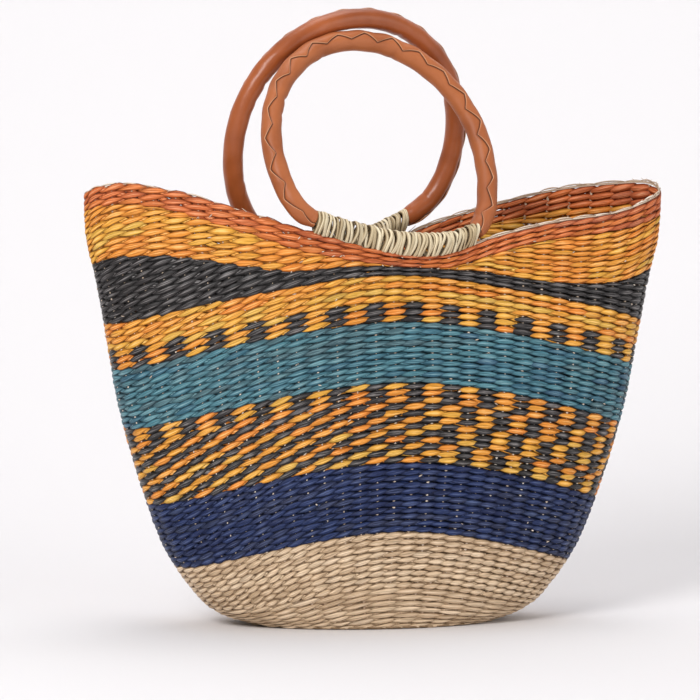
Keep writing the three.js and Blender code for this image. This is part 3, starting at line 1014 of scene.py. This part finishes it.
def build_leather(key, ring, material):
    """Leather wrapped round the ring, its free edge cut and folded along a zigzag seam."""
    start = ring.lashed_share(CLEARANCE)
    p, forward, outward, normal, run, even = ring.path(start, 1 - start, COVER_POINTS)
    waves = run / SEAM_PITCH
    swing = (saw(waves) - 0.5) * SEAM_SWING[key] * (1 + 0.25 * np.sin(run * 0.071 + 1.3))
    seam = follow(SEAMS[key], "turn", "angle", even) + swing / LEATHER_RADIUS
    delta = np.concatenate([[-0.2, -0.1, -0.04, 0.0, 0.0001, 0.06], np.linspace(0.2, TAU - 0.3, 34)])
    lip = np.where(delta <= 0, 0.0, np.exp(-((np.clip(delta, 0, None) / 1.2) ** 2)))
    fold = np.exp(-((delta[None] - 0.35) ** 2) / 0.3) * (saw(waves + 0.1)[:, None] - 0.5) * 0.6
    dent = np.exp(-((delta[None] + 0.06) ** 2) / 0.012) * -0.5
    ripple = np.zeros((COVER_POINTS, len(delta)))
    for _ in range(RIPPLE_WAVES):
        along, around, phase = rng.uniform(0.03, 0.4), rng.integers(1, 4), rng.uniform(0, TAU)
        ripple += np.sin(run[:, None] * along + around * (seam[:, None] - delta[None]) + phase) * RIPPLE[key]
    ends = np.minimum(run, run[-1] - run)
    pinch = 1 - 0.16 * np.exp(-((ends / 5) ** 2))
    radius = LEATHER_RADIUS - COVER_SUNK + lip[None] * FLAP_THICK + fold + dent + ripple
    angle = seam[:, None] - delta[None]
    inner = np.clip(-np.cos(angle), 0, 1) ** 2
    for place, depth in zip(PUCKERS["turn"], PUCKERS["depth"]):
        away = (even[:, None] - place) * TAU * ring.radius / PUCKER_LENGTH
        radius = radius - depth * inner * np.exp(-(away**2))
    radius = radius * pinch[:, None]
    ring_pts = (
        p[:, None]
        + outward[:, None] * (np.cos(angle) * radius)[..., None]
        - normal[:, None] * (np.sin(angle) * radius)[..., None]
    )
    sides = len(delta)
    index = np.arange(COVER_POINTS * sides).reshape(COVER_POINTS, sides)
    nxt = np.roll(index, -1, axis=1)
    quads = np.stack([index[:-1], index[1:], nxt[1:], nxt[:-1]], -1).reshape(-1, 4)
    caps = [index[:1], index[-1:, ::-1]]
    # seam: painted shadow beside the flap's edge; cut: the paler cut edge itself.
    marks = {
        "seam": np.tile(np.where(delta <= 0, np.exp(-((delta / 0.1) ** 2)), 0), COVER_POINTS),
        "cut": np.tile(np.where((delta > 0) & (delta < 0.01), 0.75, 0), COVER_POINTS),
    }
    verts = ring_pts.reshape(-1, 3)
    piece = mesh_object("handle_cover_" + key, verts, quads, material, marks, ngons=caps)
    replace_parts(piece, "handle_leather_" + key, "handle_core_" + key)


CORD_SPACING = 2.9
CORD_WIDE = 1.6
CORD_THICK = 1.0
CORD_DROP = 1.2
CORD_POINTS = 30
CORD_SIDES = 8
# Spread from turn to turn of the cord's loop and of its thickness
LOOP_SPREAD = 0.045
THICK_SPREAD = 0.13


def build_lashing(name, ring, node_name):
    """Natural cord wound turn by turn round the ring and through the wall just under its edge."""
    share = ring.lashed_share(-1.0)
    turns = int(ring.lashed / CORD_SPACING)
    p, forward = ring.path(-share, share, turns)[:2]
    rim, up, out = rim_frame(turn_at(ring.side, p[:, 0]))
    drop = np.linalg.norm(p - rim, axis=1) + CORD_DROP
    angle = np.linspace(0, TAU, CORD_POINTS, endpoint=False)[None]
    radius = (CORE_RADIUS + CORD_THICK) * (1 + rng.normal(0, LOOP_SPREAD, (turns, 1)))
    low = np.clip(-np.cos(angle), 0, 1)
    height = np.where(np.cos(angle) > 0, np.cos(angle) * radius, -(low**1.3) * drop[:, None])
    side_way = np.sin(angle) * radius * (1 - 0.5 * low**2)
    skew = rng.normal(0.7, 0.8, (turns, 1)) * np.cos(angle)
    skew = skew + rng.normal(0.3, 0.6, (turns, 1)) * np.sin(angle)
    skew = skew + 0.3 * np.sin(3 * angle + rng.uniform(0, TAU, (turns, 1)))
    centre = (
        p[:, None]
        + out[:, None] * side_way[..., None]
        + up[:, None] * height[..., None]
        + forward[:, None] * skew[..., None]
    )
    ahead = unit(np.roll(centre, -1, axis=1) - np.roll(centre, 1, axis=1))
    a = np.broadcast_to(forward[:, None], centre.shape)
    a = unit(a - ahead * np.sum(a * ahead, axis=-1, keepdims=True))
    b = np.cross(ahead, a)
    thick = np.ones(centre.shape[:2]) * (1 + rng.normal(0, THICK_SPREAD, (turns, 1)))
    thick = thick * (1 + 0.1 * np.sin(4 * angle + rng.uniform(0, TAU, (turns, 1))))
    verts, quads, caps, u, v = tubes(
        centre, b, a, thick * CORD_THICK, thick * CORD_WIDE, CORD_SIDES, closed=True
    )
    bundle = Bundle()
    bundle.add(verts, quads, caps, 0.5 + 0 * u, v, np.repeat(rng.random(turns), CORD_POINTS * CORD_SIDES))
    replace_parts(bundle.build(name, "cord_natural", CORD), node_name)


build_wall()
build_stakes()
build_base()
build_border()

rings = {key: Ring(**value) for key, value in HANDLES.items()}
build_leather("front", rings["front"], LEATHER_FRONT)
build_leather("back", rings["back"], LEATHER_BACK_SHADED)
build_lashing("cord_turns_front", rings["front"], "lashing_front")
build_lashing("cord_turns_back", rings["back"], "lashing_back")

# Camera at the photo's angle

CAMERA_AZIMUTH = math.radians(-17)
CAMERA_ELEVATION = math.radians(4.6)
CAMERA_ROLL = math.radians(0.75)
CAMERA_DISTANCE = 4.0
SCALE = 0.74 * MM
SENSOR = 36
PIXELS = 700
AIM = np.array([0, 0, 0.2])
AIM_PIXEL = np.array([375.0, 352.3])


def build_camera():
    a, e, roll = CAMERA_AZIMUTH, CAMERA_ELEVATION, CAMERA_ROLL
    back = np.array([math.sin(a) * math.cos(e), -math.cos(a) * math.cos(e), math.sin(e)])
    right = np.array([math.cos(a), math.sin(a), 0])
    up = np.cross(back, right)
    right, up = (
        right * math.cos(roll) + up * math.sin(roll),
        up * math.cos(roll) - right * math.sin(roll),
    )
    shift = (np.array([PIXELS / 2, PIXELS / 2]) - AIM_PIXEL) * SCALE
    centre = AIM + right * shift[0] - up * shift[1]
    place = centre + back * CAMERA_DISTANCE
    data = bpy.data.cameras.new("camera")
    data.sensor_width = SENSOR
    data.lens = SENSOR * CAMERA_DISTANCE / (SCALE * PIXELS)
    data.clip_end = 50
    camera = bpy.data.objects.new("camera", data)
    bpy.context.collection.objects.link(camera)
    matrix = np.eye(4)
    matrix[:3, 0], matrix[:3, 1], matrix[:3, 2], matrix[:3, 3] = right, up, back, place
    camera.matrix_world = Matrix(matrix.tolist())
    bpy.context.scene.camera = camera


# Backdrop, in metres
FLOOR_FRONT = -3.0
FLOOR_BACK = 0.35
CURVE_RADIUS = 0.8
CURVE_STEPS = 14
BACKDROP_HEIGHT = 4.0
BACKDROP_HALF_WIDTH = 5.0


def build_stage():
    """Pale floor that curves up into a pale wall behind the bag."""
    profile = [(FLOOR_FRONT, 0.0), (FLOOR_BACK, 0.0)]
    for x in np.linspace(0.1, math.pi / 2, CURVE_STEPS):
        profile.append((FLOOR_BACK + CURVE_RADIUS * math.sin(x), CURVE_RADIUS - CURVE_RADIUS * math.cos(x)))
    profile.append((FLOOR_BACK + CURVE_RADIUS, BACKDROP_HEIGHT))
    turn = -CAMERA_AZIMUTH
    verts, faces = [], []
    for x in (-BACKDROP_HALF_WIDTH, BACKDROP_HALF_WIDTH):
        for y, z in profile:
            across = x * math.cos(turn) + y * math.sin(turn)
            deep = -x * math.sin(turn) + y * math.cos(turn)
            verts.append((across, deep, z))
    n = len(profile)
    for i in range(n - 1):
        faces.append((i, n + i, n + i + 1, i + 1))
    mesh = bpy.data.meshes.new("backdrop")
    mesh.from_pydata(verts, [], faces)
    mesh.polygons.foreach_set("use_smooth", [True] * len(faces))
    material = bpy.data.materials.new("backdrop")
    material.use_nodes = True
    shader = material.node_tree.nodes["Principled BSDF"]
    shader.inputs["Base Color"].default_value = (0.8, 0.785, 0.795, 1)
    shader.inputs["Roughness"].default_value = 0.9
    mesh.materials.append(material)
    backdrop = bpy.data.objects.new("backdrop", mesh)
    bpy.context.collection.objects.link(backdrop)


LIGHT_TARGET = (0, 0, 0.2)
# Lights: place in metres, side of the square in metres and power in watts
LIGHTS = {
    "key": ((-1.9, -2.2, 1.9), 1.2, 74),
    "fill": ((2.2, -2.4, 1.0), 2.0, 24),
    "top": ((0.2, 0.2, 2.6), 1.6, 26),
}
WORLD_STRENGTH = 0.32


def area_light(name, place, size, power):
    """Square light turned to the bag."""
    data = bpy.data.lights.new(name, "AREA")
    data.shape = "SQUARE"
    data.size = size
    data.energy = power
    light = bpy.data.objects.new(name, data)
    bpy.context.collection.objects.link(light)
    place, target = np.array(place, float), np.array(LIGHT_TARGET, float)
    z = unit(place - target)
    x = unit(np.cross([0, 0, 1.0], z))
    y = np.cross(z, x)
    matrix = np.eye(4)
    matrix[:3, 0], matrix[:3, 1], matrix[:3, 2], matrix[:3, 3] = x, y, z, place
    light.matrix_world = Matrix(matrix.tolist())


def build_lights():
    for name, (place, size, power) in LIGHTS.items():
        area_light(name, place, size, power)
    world = bpy.data.worlds.new("world")
    world.use_nodes = True
    world.node_tree.nodes["Background"].inputs[0].default_value = (1, 0.99, 1, 1)
    world.node_tree.nodes["Background"].inputs[1].default_value = WORLD_STRENGTH
    bpy.context.scene.world = world


build_camera()
build_stage()
build_lights()
bpy.context.scene.view_settings.view_transform = "Standard"
